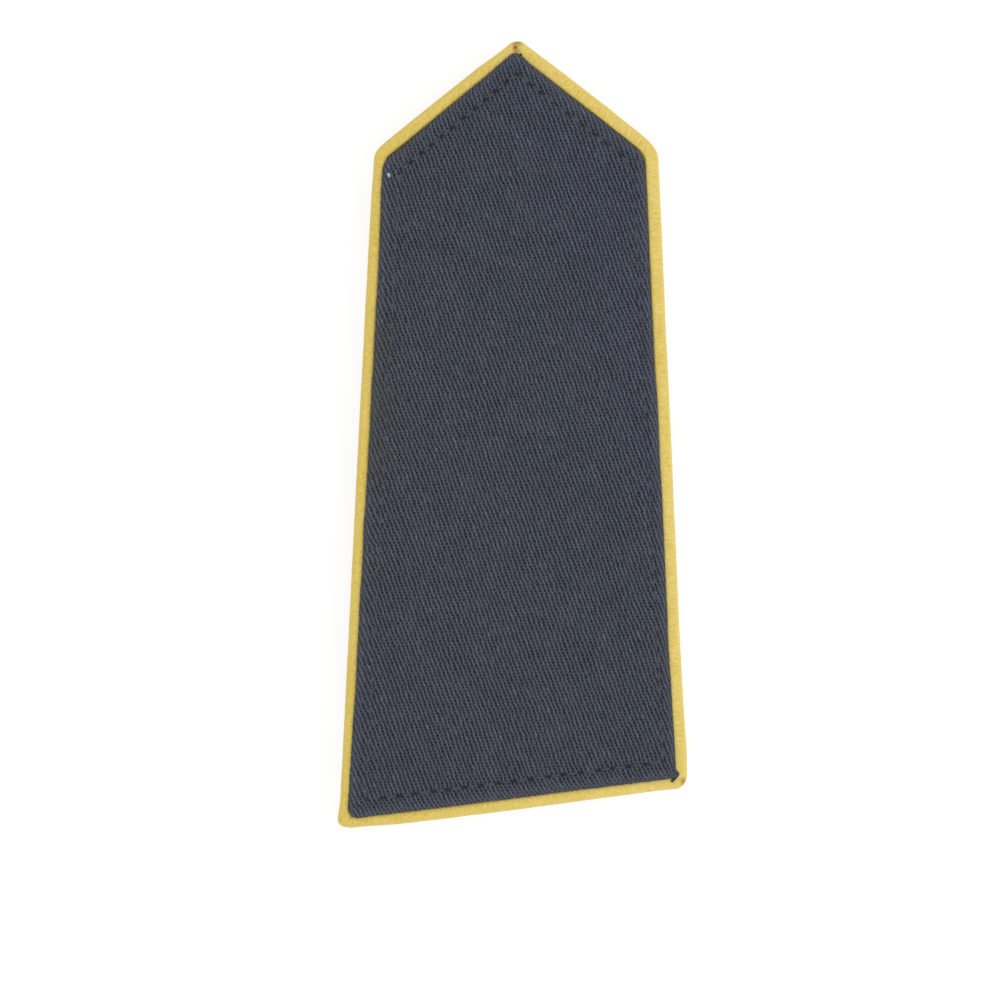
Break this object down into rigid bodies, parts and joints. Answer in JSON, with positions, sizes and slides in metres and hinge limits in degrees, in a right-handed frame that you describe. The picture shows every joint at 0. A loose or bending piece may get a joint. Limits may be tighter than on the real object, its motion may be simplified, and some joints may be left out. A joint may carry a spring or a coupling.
{
  "type": "uniform shoulder board",
  "caption": "Plain padded cloth shoulder board, pointed at the collar end, with round contrast piping and a strap band across the back.",
  "frame": {"origin": "middle of the board's outline box in plan, on the surface that the strap band rests on", "axes": "+Y to the point at the collar end, +X to the right seen from the face, +Z out of the face"},
  "size_m": [0.059, 0.1342, 0.0075],
  "materials": {
    "twill_cloth": "dark slate blue warp-faced twill, matt",
    "piping_cloth": "golden yellow fine bias-cut cloth, soft satin",
    "felt": "dark wool felt, matt",
    "webbing": "dark ribbed webbing",
    "thread": "dark polyester sewing thread, slight gloss"
  },
  "bodies": {
    "root": {"face_panel": "twill_cloth", "piping": "piping_cloth", "backing": "felt", "strap_band": "webbing"}
  },
  "joints": []
}
